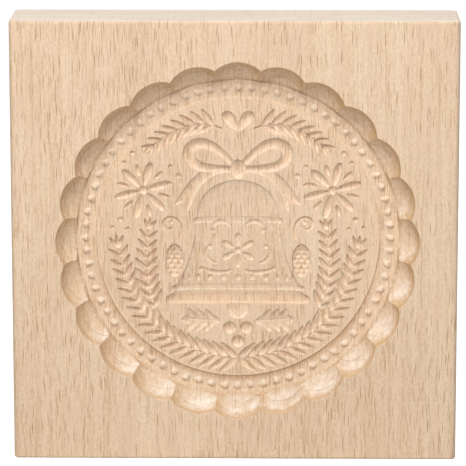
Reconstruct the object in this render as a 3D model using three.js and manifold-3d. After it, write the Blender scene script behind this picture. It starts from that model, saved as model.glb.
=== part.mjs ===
// A square beech cookie mould with a round recess carved into its front face.
// Ball-nosed scoops make the scalloped rim. Inside it lie a ring of raised pearls and a plain round
// field, into which the picture is carved: a bell with a bow between fir branches and rosettes.
// Millimetres, +Z up. The board stands on its lower edge with the carved face towards -Y, and the
// origin is the middle of the edge it stands on.
import * as THREE from "three";
import { mergeVertices } from "three/addons/utils/BufferGeometryUtils.js";
import Module from "manifold-3d";

const wasm = await Module();
wasm.setup();

// Board
const boardThickness = 25;
const borderWidth = 11.9; // plain face between the scallops and the nearest side of the board
const edgeRadius = 1.5; // of the long edges, along the grain
const endRadius = 0.8; // of the edges round both end faces
const edgeSteps = 2;

// Recess, from the middle outwards
const fieldRadius = 41.4;
const bandWidth = 5.7; // floor that carries the pearls
const scoopReach = 6; // how far the scoops run out past the band
const recessShift = 0.9; // the recess sits this far right of the board's middle

// Depths below the carved face
const fieldDepth = 7;
const bandDepth = 7.5;
const scoopDepth = 7.7;
const fieldSlope = 0.3; // width of the slope between the field and the band
const bandDraft = 0.25; // how far the wall round the band leans out for each millimetre up

// Scallops and pearls
const scoopCount = 24;
const scoopRadius = 9.7;
const pearlsPerScoop = 3;
const pearlInset = 2.6; // from the band's edge to the middle of each pearl
const pearlRadius = 1.15;
const pearlHeight = 1.1;

// Picture, drawn in shares of pictureRadius, with its reliefs in millimetres below the field
const pictureMargin = 1.9; // plain rim of the field that no carving enters
const bellRelief = 2.8;
const bowRelief = 1.8;
const stemRelief = 0.9;
const needleRelief = 1.5;
const leafRelief = 1.2;
const rosetteRelief = 1.6;
const berryRelief = 1.5;
const heartRelief = 1.3;
const fullness = 0.6; // 1 gives the pits round sections, less makes their walls more upright

// Fineness of the round forms
const circleSteps = 96;
const scoopSteps = 24;
const pearlSteps = 8;
const bellSteps = 32;
const cutClearance = 1; // how far a cutter stands out of the wood that it cuts

// Worked out from the sizes above
const bandRadius = fieldRadius + bandWidth;
const rimRadius = bandRadius + scoopReach;
const scoopCircle = rimRadius - scoopRadius;
const pearlCircle = bandRadius - pearlInset;
const boardSide = 2 * (rimRadius + borderWidth);
const pictureRadius = fieldRadius - pictureMargin;

// Geometry helpers
// A closed three.js geometry as a solid that can be joined and cut.
function solid(geometry) {
  const shape = geometry.clone();
  shape.deleteAttribute("normal");
  shape.deleteAttribute("uv");
  const merged = mergeVertices(shape, 1e-4);
  return new wasm.Manifold(
    new wasm.Mesh({
      numProp: 3,
      vertProperties: merged.attributes.position.array,
      triVerts: new Uint32Array(merged.index.array),
    }),
  );
}

function joined(geometries) {
  return geometries.map(solid).reduce((whole, next) => whole.add(next));
}

// Moves a geometry from the recess's own frame to the board: x to the right of the recess's middle,
// z above it, and y into the wood from the carved face.
function onBoard(geometry) {
  return geometry.translate(recessShift, -boardThickness / 2, boardSide / 2);
}

// Moves a geometry of the picture, whose y starts at the field, to the board.
function onField(geometry) {
  return onBoard(geometry.translate(0, fieldDepth, 0));
}

// A disc or cone whose axis runs into the wood, between two depths.
function turned(topRadius, topDepth, floorRadius, floorDepth) {
  const disc = new THREE.CylinderGeometry(
    floorRadius,
    topRadius,
    floorDepth - topDepth,
    circleSteps,
  );
  return onBoard(disc.translate(0, (topDepth + floorDepth) / 2, 0));
}

// Board and recess
function board() {
  const right = boardSide / 2;
  const front = boardThickness / 2;
  const section = new THREE.Shape();
  section.absarc(right - edgeRadius, front - edgeRadius, edgeRadius, 0, Math.PI / 2);
  section.absarc(edgeRadius - right, front - edgeRadius, edgeRadius, Math.PI / 2, Math.PI);
  section.absarc(edgeRadius - right, edgeRadius - front, edgeRadius, Math.PI, 1.5 * Math.PI);
  section.absarc(right - edgeRadius, edgeRadius - front, edgeRadius, 1.5 * Math.PI, 2 * Math.PI);
  const blank = new THREE.ExtrudeGeometry(section, {
    depth: boardSide - 2 * endRadius,
    bevelThickness: endRadius,
    bevelSize: endRadius,
    bevelOffset: -endRadius,
    bevelSegments: edgeSteps,
    curveSegments: edgeSteps,
  });
  return solid(blank.translate(0, 0, endRadius));
}

function scoops() {
  const cutters = [];
  for (let i = 0; i < scoopCount; i++) {
    const scoop = new THREE.SphereGeometry(1, scoopSteps, scoopSteps / 2);
    scoop.scale(scoopRadius, scoopDepth, scoopRadius);
    scoop.translate(0, 0, scoopCircle);
    scoop.rotateY((i / scoopCount) * 2 * Math.PI);
    cutters.push(onBoard(scoop));
  }
  return joined(cutters);
}

function recess() {
  const core = solid(
    turned(bandRadius, bandDepth, bandRadius, scoopDepth + cutClearance),
  );
  const mouth = bandRadius + bandDraft * (bandDepth + cutClearance);
  const bowl = solid(turned(mouth, -cutClearance, bandRadius, bandDepth));
  return scoops().subtract(core).add(bowl);
}

// The raised field, with a narrow slope down to the band.
function field() {
  const slope = fieldSlope / (bandDepth - fieldDepth);
  const foot = bandDepth + cutClearance;
  return solid(
    turned(fieldRadius, fieldDepth, fieldRadius + slope * (foot - fieldDepth), foot),
  );
}

function pearls() {
  const count = scoopCount * pearlsPerScoop;
  const ring = [];
  for (let i = 0; i < count; i++) {
    const pearl = new THREE.SphereGeometry(1, pearlSteps, pearlSteps / 2);
    pearl.scale(pearlRadius, pearlHeight, pearlRadius);
    pearl.translate(0, bandDepth, pearlCircle);
    pearl.rotateY(((i + 0.5) / count) * 2 * Math.PI);
    ring.push(onBoard(pearl));
  }
  return joined(ring);
}

// Picture
// Places in the picture are given as shares of its radius.
function place(right, up) {
  return new THREE.Vector3(right * pictureRadius, 0, up * pictureRadius);
}

// The bell's outline from its mouth to its crown: share of the mouth's radius, share of the height.
const bellOutline = [
  [0, 0],
  [0.93, 0],
  [1, 0.02],
  [1, 0.06],
  [0.9, 0.085],
  [0.87, 0.13],
  [0.9, 0.15],
  [0.8, 0.25],
  [0.71, 0.36],
  [0.63, 0.5],
  [0.58, 0.66],
  [0.59, 0.7],
  [0.55, 0.73],
  [0.52, 0.82],
  [0.45, 0.9],
  [0.33, 0.96],
  [0.17, 0.99],
  [0, 1],
];
const bellMouth = 0.54 * pictureRadius;
const bellHeight = 0.94 * pictureRadius;
const bellFoot = -0.5;

function bell() {
  const outline = bellOutline.map(
    ([radius, height]) => new THREE.Vector2(radius * bellMouth, height * bellHeight),
  );
  const body = new THREE.LatheGeometry(outline, bellSteps);
  body.rotateX(Math.PI / 2);
  const corner = body.attributes.position;
  for (let i = 0; i < corner.count; i++) {
    const radius = Math.hypot(corner.getX(i), corner.getY(i));
    if (radius > 0) corner.setY(i, radius * full(corner.getY(i) / radius));
  }
  body.scale(1, bellRelief / bellMouth, 1);
  body.translate(0, 0, bellFoot * pictureRadius);
  const clapper = pit(0.085, 0.085, berryRelief, 0, bellFoot - 0.03);
  return [onField(body), clapper];
}

// Makes the section of a pit more upright at its sides and flatter on its floor.
function full(share) {
  return Math.sign(share) * Math.abs(share) ** fullness;
}

// A rounded pit, whose half sizes and place are shares of the picture's radius.
function pit(halfWidth, halfHeight, relief, right, up) {
  const cutter = new THREE.SphereGeometry(1, 12, 8);
  const corner = cutter.attributes.position;
  for (let i = 0; i < corner.count; i++) {
    corner.setY(i, full(corner.getY(i)));
  }
  cutter.scale(halfWidth * pictureRadius, relief, halfHeight * pictureRadius);
  const middle = place(right, up);
  return onField(cutter.translate(middle.x, 0, middle.z));
}

// A chip with four slanted sides, from a root point towards a heading.
function chip(root, heading, length, width, relief) {
  const cutter = new THREE.OctahedronGeometry(1);
  cutter.scale(length / 2, relief, width / 2);
  cutter.translate(length / 2, 0, 0);
  cutter.rotateY(-heading);
  return onField(cutter.translate(root.x, 0, root.z));
}

// A flat-bottomed pit with sloping walls. The outline and the slope are shares of the size, which
// is itself a share of the picture's radius.
function hollow(outline, relief, slope, size, right, up, turn = 0) {
  const cutter = new THREE.ExtrudeGeometry(outline, {
    depth: cutClearance,
    bevelThickness: relief,
    bevelSize: slope,
    bevelOffset: -slope,
    bevelSegments: 2,
    curveSegments: 5,
  });
  cutter.scale(size * pictureRadius, size * pictureRadius, 1);
  cutter.rotateX(Math.PI / 2);
  cutter.rotateY(-turn);
  const middle = place(right, up);
  return onField(cutter.translate(middle.x, 0, middle.z));
}

// The bow: a knot, two open loops and two ribbon ends.
const knotHeight = 0.52;
function bow() {
  const cutters = [pit(0.062, 0.075, bowRelief, 0, knotHeight)];
  for (const side of [-1, 1]) {
    const loop = new THREE.TorusGeometry(1, 0.36, 6, 16);
    loop.rotateX(Math.PI / 2);
    loop.scale(0.17 * pictureRadius, bowRelief / 0.36, 0.09 * pictureRadius);
    loop.rotateY(-side * 0.45);
    const middle = place(side * 0.235, knotHeight + 0.095);
    cutters.push(onField(loop.translate(middle.x, 0, middle.z)));
    const end = new THREE.Shape();
    end.moveTo(0, 0.01);
    end.quadraticCurveTo(side * 0.25, 0.03, side * 0.47, -0.27);
    end.lineTo(side * 0.4, -0.25);
    end.lineTo(side * 0.37, -0.33);
    end.quadraticCurveTo(side * 0.22, -0.08, 0, -0.06);
    cutters.push(hollow(end, stemRelief, 0.02, 1, 0, knotHeight));
  }
  return cutters;
}

// A fir branch: a bent stem with a needle on each side at every step and three at its end.
const needleSpread = 0.72;
const needleTaper = 0.4;
const needleSlimness = 0.32;
function firBranch(start, bend, end, needles, longest) {
  const stem = new THREE.QuadraticBezierCurve3(start, bend, end);
  const section = new THREE.Shape();
  section.absellipse(0, 0, stemRelief, 0.014 * pictureRadius, 0, 2 * Math.PI);
  const bark = new THREE.ExtrudeGeometry(section, {
    steps: needles,
    curveSegments: 3,
    extrudePath: stem,
  });
  const cutters = [onField(bark)];
  for (let i = 1; i <= needles; i++) {
    const along = i / needles;
    const root = stem.getPointAt(along);
    const way = stem.getTangentAt(along);
    const ahead = Math.atan2(way.z, way.x);
    const length = longest * (1 - needleTaper * along) * pictureRadius;
    const width = needleSlimness * length;
    const spreads = i < needles ? [-needleSpread, needleSpread] : [-0.5, 0, 0.5];
    for (const spread of spreads) {
      cutters.push(chip(root, ahead + spread, length, width, needleRelief));
    }
  }
  return cutters;
}

function branches() {
  return [-1, 1].flatMap((side) => [
    ...firBranch(
      place(side * -0.07, -0.92),
      place(side * 0.74, -0.91),
      place(side * 0.885, -0.08),
      19,
      0.18,
    ),
    ...firBranch(
      place(side * 0.58, -0.6),
      place(side * 0.72, -0.35),
      place(side * 0.66, 0.06),
      9,
      0.16,
    ),
    ...firBranch(
      place(side * 0.12, 0.82),
      place(side * 0.34, 0.93),
      place(side * 0.62, 0.7),
      8,
      0.16,
    ),
  ]);
}

// A holly leaf: a long chip down its middle and pairs of spikes along it.
function hollyLeaf(root, heading, length) {
  const chips = [chip(root, heading, length, 0.36 * length, leafRelief)];
  for (const along of [0.2, 0.42, 0.64]) {
    const foot = root.clone();
    foot.x += along * length * Math.cos(heading);
    foot.z += along * length * Math.sin(heading);
    for (const spread of [-1, 1]) {
      chips.push(chip(foot, heading + spread, 0.34 * length, 0.2 * length, leafRelief));
    }
  }
  return chips;
}

function holly() {
  const berry = 0.05;
  const leafLength = 0.29 * pictureRadius;
  return [
    pit(berry, berry, berryRelief, -0.062, -0.68),
    pit(berry, berry, berryRelief, 0.062, -0.68),
    pit(berry, berry, berryRelief, 0, -0.785),
    ...hollyLeaf(place(0.13, -0.63), 0.04, leafLength),
    ...hollyLeaf(place(-0.13, -0.63), Math.PI - 0.04, leafLength),
  ];
}

// A thin scroll that winds up tighter and tighter, from a root point along a first heading.
function curl(root, heading, length, turn) {
  const steps = 18;
  const points = [root];
  for (let i = 1; i <= steps; i++) {
    const way = heading + turn * (i / steps) ** 2;
    const step = new THREE.Vector3(Math.cos(way), 0, Math.sin(way));
    points.push(points[i - 1].clone().addScaledVector(step, length / steps));
  }
  const section = new THREE.Shape();
  section.absellipse(0, 0, stemRelief, 0.014 * pictureRadius, 0, 2 * Math.PI);
  const scroll = new THREE.ExtrudeGeometry(section, {
    steps,
    curveSegments: 2,
    extrudePath: new THREE.CatmullRomCurve3(points),
  });
  return onField(scroll);
}

// Places of the dots on the right.
const dots = [
  [0.44, 0.47],
  [0.5, 0.4],
  [0.5, 0.54],
  [0.87, 0.14],
  [0.93, 0.08],
  [0.82, 0.07],
  [0.78, 0.64],
  [0.84, 0.57],
];

// Cones, curls and dots between the larger motifs.
function smallOrnament() {
  const cutters = [];
  const length = 0.4 * pictureRadius;
  for (const side of [-1, 1]) {
    cutters.push(pit(0.07, 0.13, needleRelief, side * 0.47, -0.17));
    const heading = side > 0 ? 1.75 : Math.PI - 1.75;
    cutters.push(curl(place(side * 0.43, -0.01), heading, length, -side * 6.4));
    for (const [right, up] of dots) {
      const root = place(side * right - 0.022, up);
      cutters.push(chip(root, 0, 0.044 * pictureRadius, 0.044 * pictureRadius, stemRelief));
    }
  }
  return cutters;
}

// A six-petalled rosette with a small chip between each two petals.
function rosette(right, up, radius) {
  const middle = place(right, up);
  const reach = radius * pictureRadius;
  const chips = [];
  for (let i = 0; i < 12; i++) {
    const heading = ((i + 0.5) / 12) * 2 * Math.PI;
    const long = i % 2 === 0;
    const length = long ? reach : 0.5 * reach;
    const width = long ? 0.36 * reach : 0.16 * reach;
    const inset = long ? 0 : 0.42 * reach;
    const root = middle.clone();
    root.x += inset * Math.cos(heading);
    root.z += inset * Math.sin(heading);
    chips.push(chip(root, heading, length, width, long ? rosetteRelief : stemRelief));
  }
  return chips;
}

function heart(right, up, size) {
  const lobes = new THREE.Shape();
  lobes.moveTo(0, -1);
  lobes.bezierCurveTo(0.5, -0.5, 1.05, -0.1, 0.95, 0.4);
  lobes.bezierCurveTo(0.85, 0.9, 0.15, 0.9, 0, 0.35);
  lobes.bezierCurveTo(-0.15, 0.9, -0.85, 0.9, -0.95, 0.4);
  lobes.bezierCurveTo(-1.05, -0.1, -0.5, -0.5, 0, -1);
  return hollow(lobes, heartRelief, 0.4, size, right, up);
}

function picture() {
  return joined([
    ...bell(),
    ...bow(),
    ...branches(),
    ...holly(),
    ...rosette(-0.7, 0.36, 0.22),
    ...rosette(0.7, 0.36, 0.22),
    ...smallOrnament(),
    heart(0, 0.89, 0.085),
  ]);
}

// The finished block
function mesh(name, body, material) {
  const { vertProperties, triVerts, numProp } = body.getMesh();
  const geometry = new THREE.BufferGeometry();
  geometry.setAttribute("position", new THREE.BufferAttribute(vertProperties, numProp));
  geometry.setIndex(new THREE.BufferAttribute(triVerts, 1));
  const made = new THREE.Mesh(geometry, material);
  made.name = name;
  return made;
}

const beech = new THREE.MeshStandardMaterial({
  color: 0xe2c5a4,
  roughness: 0.72,
  metalness: 0,
});

const block = board().subtract(recess()).add(field()).add(pearls()).subtract(picture());

const mould = new THREE.Group();
mould.add(mesh("mould_block", block, beech));

export default mould;
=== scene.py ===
import random
from math import acos, atan2, copysign, cos, hypot, pi, radians, sin, sqrt, tan, tau

import bmesh
import bpy
from bpy.props import FloatProperty, FloatVectorProperty, IntProperty, PointerProperty
from mathutils import Matrix, Vector
from mathutils.geometry import interpolate_bezier


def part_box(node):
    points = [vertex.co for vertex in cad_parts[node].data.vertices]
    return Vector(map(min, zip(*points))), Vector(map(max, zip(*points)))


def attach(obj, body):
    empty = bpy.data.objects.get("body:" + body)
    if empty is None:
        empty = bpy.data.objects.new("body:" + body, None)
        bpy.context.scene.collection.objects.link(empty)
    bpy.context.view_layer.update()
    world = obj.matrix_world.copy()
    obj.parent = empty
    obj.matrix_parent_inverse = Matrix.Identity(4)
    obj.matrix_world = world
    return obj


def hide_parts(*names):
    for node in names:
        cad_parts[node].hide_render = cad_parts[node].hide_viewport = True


bl_info = {
    "name": "Carved Cookie Mould",
    "version": (1, 0, 0),
    "blender": (4, 5, 0),
    "location": "3D View > Sidebar > Cookie Mould",
    "description": "Carves a beech cookie mould with a scalloped recess and a bell picture",
    "category": "Add Mesh",
}

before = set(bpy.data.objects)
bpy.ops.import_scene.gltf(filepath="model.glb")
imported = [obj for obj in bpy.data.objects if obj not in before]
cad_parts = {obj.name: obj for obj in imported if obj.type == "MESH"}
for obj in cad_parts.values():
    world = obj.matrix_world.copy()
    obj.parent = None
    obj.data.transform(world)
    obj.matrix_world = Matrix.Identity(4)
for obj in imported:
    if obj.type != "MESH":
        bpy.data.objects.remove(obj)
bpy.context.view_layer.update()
BLOCK_LOW, BLOCK_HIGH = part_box("mould_block")
BLOCK_SIZE = BLOCK_HIGH - BLOCK_LOW
BLOCK_MIDDLE = (BLOCK_LOW + BLOCK_HIGH) / 2
MM = 0.001

CLEAR = 1.0 * MM  # how far cutters reach past the wood that they cut
HAIR = 0.01 * MM  # keeps two cutters from ending in the same plane
WELD = 1e-7  # points that lie closer than this become one


# Settings


def in_mm(name, description, size):
    """A setting that holds a length, given in millimetres."""
    return FloatProperty(
        name=name, description=description, default=size * MM, unit="LENGTH"
    )


def in_degrees(name, description, turn):
    """A setting that holds an angle, given in degrees."""
    return FloatProperty(
        name=name, description=description, default=radians(turn), subtype="ANGLE"
    )


def in_watts(name, description, power):
    """A setting that holds the power of a lamp."""
    return FloatProperty(name=name, description=description, default=power, unit="POWER")


def in_colour(name, description, *shares):
    """A setting that holds an opaque colour, given in red, green and blue."""
    return FloatVectorProperty(
        name=name, description=description, default=(*shares, 1.0), subtype="COLOR", size=4
    )


class BlockSettings(bpy.types.PropertyGroup):
    edge_radius: in_mm("Edge radius", "Rounding of the long edges, along the grain", 1.5)
    end_radius: in_mm("End radius", "Rounding of the edges round both end faces", 0.8)
    lip: in_mm("Lip", "Softness of the carved edges where they meet a flat", 0.16)


class RecessSettings(bpy.types.PropertyGroup):
    shift: in_mm("Shift", "How far the recess sits right of the block's middle", 0.9)
    field_radius: in_mm("Field radius", "Radius of the field with the picture", 41.4)
    band_radius: in_mm("Band radius", "Outer radius of the floor with the pearls", 47.1)
    rim_radius: in_mm("Rim radius", "Radius at the tips of the scallops", 53.1)
    scoop_radius: in_mm("Scoop radius", "Radius of one scoop on the face", 9.7)
    scoop_depth: in_mm("Scoop depth", "Depth at the middle of one scoop", 7.7)
    band_depth: in_mm("Band depth", "Depth of the floor with the pearls", 7.5)
    field_depth: in_mm("Field depth", "Depth of the plain field", 7.0)
    field_slope: in_mm("Field slope", "Width of the slope from field to band", 0.85)
    cove_width: in_mm("Cove width", "Width of the strip that curves up to the scoops", 2.0)
    cove_rise: in_mm("Cove rise", "How far the band curves up at its outer edge", 0.5)
    band_draft: in_degrees("Band draft", "Lean of the wall round the band", 14)
    crease: in_mm("Crease", "Depth of the cutter's line round the band", 0.5)
    scoops: IntProperty(
        name="Scoops",
        description="Scallops round the rim, an even number",
        default=24,
        min=6,
    )
    pearls_per_scoop: IntProperty(
        name="Pearls per scoop",
        description="Pearls inside each scallop",
        default=3,
        min=1,
    )
    pearl_inset: in_mm("Pearl inset", "From the band's edge to a pearl's middle", 2.6)
    pearl_radius: in_mm("Pearl radius", "Radius of one pearl at its foot", 1.15)
    pearl_height: in_mm("Pearl height", "Height of one pearl over the band", 1.1)


class PictureSettings(bpy.types.PropertyGroup):
    margin: in_mm("Margin", "Plain rim of the field that no carving enters", 1.9)
    bell_relief: in_mm("Bell relief", "Depth of the bell at its mouth", 2.8)
    bow_relief: in_mm("Bow relief", "Depth of the bow's loops and knot", 1.8)
    stem_relief: in_mm("Stem relief", "Depth of stems, curls, dots and ribbon ends", 0.9)
    needle_relief: in_mm("Needle relief", "Depth of the fir needles and the cones", 1.5)
    leaf_relief: in_mm("Leaf relief", "Depth of the holly leaves", 1.2)
    berry_relief: in_mm("Berry relief", "Depth of the berries and the clapper", 1.5)
    flower_relief: in_mm("Flower relief", "Depth of the rosettes and the heart", 1.6)


class WoodSettings(bpy.types.PropertyGroup):
    # Also mixed in as a painted highlight along the field's lower edge.
    pale: in_colour("Pale fibres", "Palest fibres on planed faces", 0.86, 0.678, 0.488)
    dark: in_colour("Dark fibres", "Darkest fibres on planed faces", 0.672, 0.47, 0.306)
    rosy: in_colour("Rosy patches", "Patches of pinker wood", 0.8, 0.575, 0.43)
    # The ring colour is also painted as shade in the band's crease and as a shadow under
    # the field's lower edge.
    ring: in_colour("Rings", "Late wood in each year ring", 0.52, 0.32, 0.18)
    # Burnish colour, which is also painted as shade on the steep scoop walls.
    burnish_and_shade: in_colour("Burnish", "Steep carved walls", 0.64, 0.41, 0.2)
    end_grain: in_colour("End grain", "Fibres that are cut across", 0.98, 0.86, 0.74)
    # Painted light: the pale colour given to carved walls that face up or left, towards the
    # lamps.
    painted_light: in_colour("Torn grain", "Fibres torn by the cutter", 0.93, 0.85, 0.755)
    fleck: in_colour("Flecks", "Rays on the carved face", 0.42, 0.22, 0.1)
    ring_spacing: in_mm("Ring spacing", "Thickness of one year ring", 2.6)
    ring_phase: in_mm("Ring phase", "Shift of the rings through the thickness", 1.6)
    ring_curve: in_mm("Ring curve", "Radius to which the year rings bend", 500)
    ring_lean: FloatProperty(
        name="Ring lean",
        description="How far the year rings sink across the block, as a slope",
        default=0.05,
    )
    ring_sway: in_mm("Ring sway", "How far the year rings wander", 3)
    fleck_length: in_mm("Fleck length", "Length of the longest rays on the face", 6)
    fleck_width: in_mm("Fleck width", "Width of the rays on the carved face", 0.16)
    fleck_share: FloatProperty(
        name="Fleck share",
        description="Share of the possible rays that show",
        default=0.5,
        subtype="FACTOR",
        min=0.0,
        max=1.0,
    )


class StageSettings(bpy.types.PropertyGroup):
    azimuth: in_degrees("Azimuth", "How far right of the face the camera stands", 0.97)
    elevation: in_degrees("Elevation", "How far above the middle the camera stands", 11.49)
    roll: in_degrees("Roll", "Tilt of the camera", -0.03)
    distance: in_mm("Distance", "From the camera to the middle of the block", 975)
    view_angle: in_degrees("View angle", "From one side of the view to the other", 8.05)
    aim_right: in_mm("Aim right", "Camera's aim right of the block's middle", -0.63)
    aim_up: in_mm("Aim up", "Camera's aim above the block's middle", 0.43)
    ambient: FloatProperty(
        name="Ambient",
        description="Strength of the even light from all round",
        default=0.1,
        min=0.0,
    )
    key_power: in_watts("Key lamp", "Power of the soft lamp above", 5.9)
    front_power: in_watts("Front lamp", "Power of the wide lamp in front", 4.0)
    top_power: in_watts("Top lamp", "Power of the lamp above and behind", 0.85)
    floor_size: in_mm("Floor size", "Side of the square floor", 6000)
    floor_colour: in_colour("Floor", "Paint of the floor", 0.65, 0.65, 0.65)
    floor_glow: FloatProperty(
        name="Floor glow",
        description="White that is added to the floor where it is seen",
        default=0.9,
        min=0.0,
    )


# Mesh helpers


def copied(mesh):
    """A bmesh with the content of a mesh."""
    bm = bmesh.new()
    bm.from_mesh(mesh)
    return bm


def stored(bm, mesh):
    """Writes a bmesh in an order that its shape alone decides, the same in each run."""
    bm.verts.index_update()
    places = [tuple(v.co) for v in bm.verts]
    order = sorted(range(len(places)), key=places.__getitem__)
    rank = {old: new for new, old in enumerate(order)}
    faces = []
    for face in bm.faces:
        corners = [rank[v.index] for v in face.verts]
        first = corners.index(min(corners))
        faces.append(corners[first:] + corners[:first])
    bm.free()
    mesh.clear_geometry()
    mesh.from_pydata([places[i] for i in order], [], sorted(faces))


def finished(bm, name):
    """Stores a bmesh as a new object and frees it."""
    mesh = bpy.data.meshes.new(name)
    stored(bm, mesh)
    made = bpy.data.objects.new(name, mesh)
    bpy.context.scene.collection.objects.link(made)
    return made


def closed(bm, name):
    """Stores a closed form as a new object with its normals outward."""
    bmesh.ops.recalc_face_normals(bm, faces=bm.faces)
    return finished(bm, name)


def spun(bm, geom, turn, steps, **choices):
    """Spins part of a bmesh about the Y axis."""
    middle, axis = (0, 0, 0), (0, 1, 0)
    bmesh.ops.spin(
        bm, geom=geom, cent=middle, axis=axis, angle=turn, steps=steps, **choices
    )


def turned(profile, steps, name):
    """A closed form spun about the Y axis from a profile of (radius, depth) points."""
    bm = bmesh.new()
    verts = [bm.verts.new((radius, depth, 0.0)) for radius, depth in profile]
    edges = [bm.edges.new(pair) for pair in zip(verts, verts[1:])]
    spun(bm, verts + edges, tau, steps, use_merge=True)
    bmesh.ops.remove_doubles(bm, verts=bm.verts, dist=WELD)
    return closed(bm, name)


def ring_of(obj, copies, first):
    """Repeats a form about the Y axis from a first angle, inside its own mesh."""
    bm = copied(obj.data)
    start = Matrix.Rotation(first, 3, "Y")
    bmesh.ops.rotate(bm, verts=bm.verts, cent=(0, 0, 0), matrix=start)
    geom = bm.verts[:] + bm.edges[:] + bm.faces[:]
    spun(bm, geom, tau * (copies - 1) / copies, copies - 1, use_duplicate=True)
    bmesh.ops.recalc_face_normals(bm, faces=bm.faces)
    stored(bm, obj.data)
    return obj


def moved(obj, matrix):
    """Moves the mesh of an object, not the object."""
    obj.data.transform(matrix)
    return obj


def cut(body, other, operation="DIFFERENCE"):
    """Cuts or joins a body with another, which is used up."""
    modifier = body.modifiers.new("cut", "BOOLEAN")
    modifier.object = other
    modifier.operation = operation
    modifier.solver = "MANIFOLD"
    depsgraph = bpy.context.evaluated_depsgraph_get()
    made = bpy.data.meshes.new_from_object(body.evaluated_get(depsgraph))
    if not made.polygons:
        raise RuntimeError(f"{body.name} came out empty")
    body.modifiers.clear()
    used = (body.data, other.data)
    body.data = made
    bpy.data.objects.remove(other)
    for mesh in used:
        bpy.data.meshes.remove(mesh)
    stored(copied(made), made)
    return body


def joined(parts, name):
    """One closed form from parts that may overlap, joined two by two."""
    while len(parts) > 1:
        pairs = zip(parts[::2], parts[1::2])
        odd = parts[len(parts) // 2 * 2 :]
        parts = [cut(one, other, "UNION") for one, other in pairs] + odd
    parts[0].name = name
    return parts[0]


# Recess

RING_SIDES = 240  # faces round the large circles
SCOOP_SIDES = 72
PEARL_SIDES = 20
LIP_STEPS = 3

CREASE_WIDTH = 0.6 * MM
CREASE_WAY = (0.34, 0.94)  # right and up, to where the crease is deepest
PEARL_SLIP = 0.12  # how far a pearl may stand from its place, in millimetres


def lip_bends():
    """Points of a lip's rounded edge, as shares of its size to the side and in height."""
    turns = [pi / 2 * i / LIP_STEPS for i in range(1, LIP_STEPS + 1)]
    return [(1 - cos(turn), 1 - sin(turn)) for turn in turns]


def scoop(recess, lip):
    """The ellipsoid that one scoop leaves, with a soft lip at the face."""
    radius = recess.scoop_radius - lip / 2
    depth = recess.scoop_depth
    steps = 20
    last = acos(lip / depth)
    turns = [last * i / steps for i in range(1, steps + 1)]
    profile = [(0.0, depth)]
    profile += [(radius * sin(turn), depth * cos(turn)) for turn in turns]
    wall = profile[-1][0]
    profile += [(wall + lip * side, lip * height) for side, height in lip_bends()]
    profile += [(profile[-1][0], -CLEAR), (0.0, -CLEAR)]
    return turned(profile, SCOOP_SIDES, "scoop")


def scalloped_recess(recess, lip):
    """All that is cut away for the scallops and the floor inside them."""
    circle = recess.rim_radius - recess.scoop_radius
    rings = []
    for first in (0.0, tau / recess.scoops):
        one = moved(scoop(recess, lip), Matrix.Translation((0, 0, circle)))
        rings.append(ring_of(one, recess.scoops // 2, first))
    whole = joined(rings, "recess_cutter")
    radius = recess.band_radius
    top = recess.band_depth
    foot = recess.scoop_depth + CLEAR
    core = [(0.0, -CLEAR), (radius - lip, -CLEAR), (radius - lip, top - HAIR)]
    core += [(radius - lip * height, top + lip * side) for side, height in lip_bends()]
    core += [(radius, foot), (0.0, foot)]
    cut(whole, turned(core, RING_SIDES, "core"))
    return cut(whole, bowl(recess), "UNION")


def bowl(recess):
    """The hollow over the band, whose floor curves up to a crease at its edge."""
    radius = recess.band_radius
    top = recess.band_depth
    edge = top - recess.cove_rise
    mouth = radius + tan(recess.band_draft) * (edge + CLEAR)
    profile = [(0.0, -CLEAR), (mouth, -CLEAR), (radius, edge), (radius - HAIR, edge + HAIR)]
    steps = 6
    for i in range(1, steps + 1):
        share = 1 - i / steps
        reach = radius - recess.cove_width * (1 - share)
        profile.append((reach, top - recess.cove_rise * share**2))
    profile.append((0.0, top))
    made = turned(profile, RING_SIDES, "bowl")
    for v in made.data.vertices:
        near = 1 - (radius - hypot(v.co.x, v.co.z)) / CREASE_WIDTH
        if near > 0 and v.co.y > edge + HAIR / 2:
            height = (CREASE_WAY[1] * v.co.z + CREASE_WAY[0] * v.co.x) / radius
            v.co.y += recess.crease * near * max(height, -0.4 * height, 0.3)
    return made


def raised_field(recess, lip):
    """The plain field with its slope down to the band, narrower at the bottom."""
    top = recess.field_depth
    drop = recess.band_depth - top + HAIR
    foot = recess.band_depth + CLEAR
    inner = recess.field_radius - lip
    steps = 8
    profile = [(0.0, top)]
    for i in range(steps + 1):
        share = i / steps
        fall = drop * (1 - cos(pi * share)) / 2
        profile.append((inner + share * (recess.field_slope + lip), top + fall))
    profile += [(profile[-1][0], foot), (0.0, foot)]
    field = turned(profile, RING_SIDES, "field")
    for v in field.data.vertices:
        reach = hypot(v.co.x, v.co.z)
        if reach > inner:
            width = 0.65 + 0.35 * v.co.z / reach
            change = (inner + (reach - inner) * width) / reach
            v.co.x *= change
            v.co.z *= change
    return field


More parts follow.
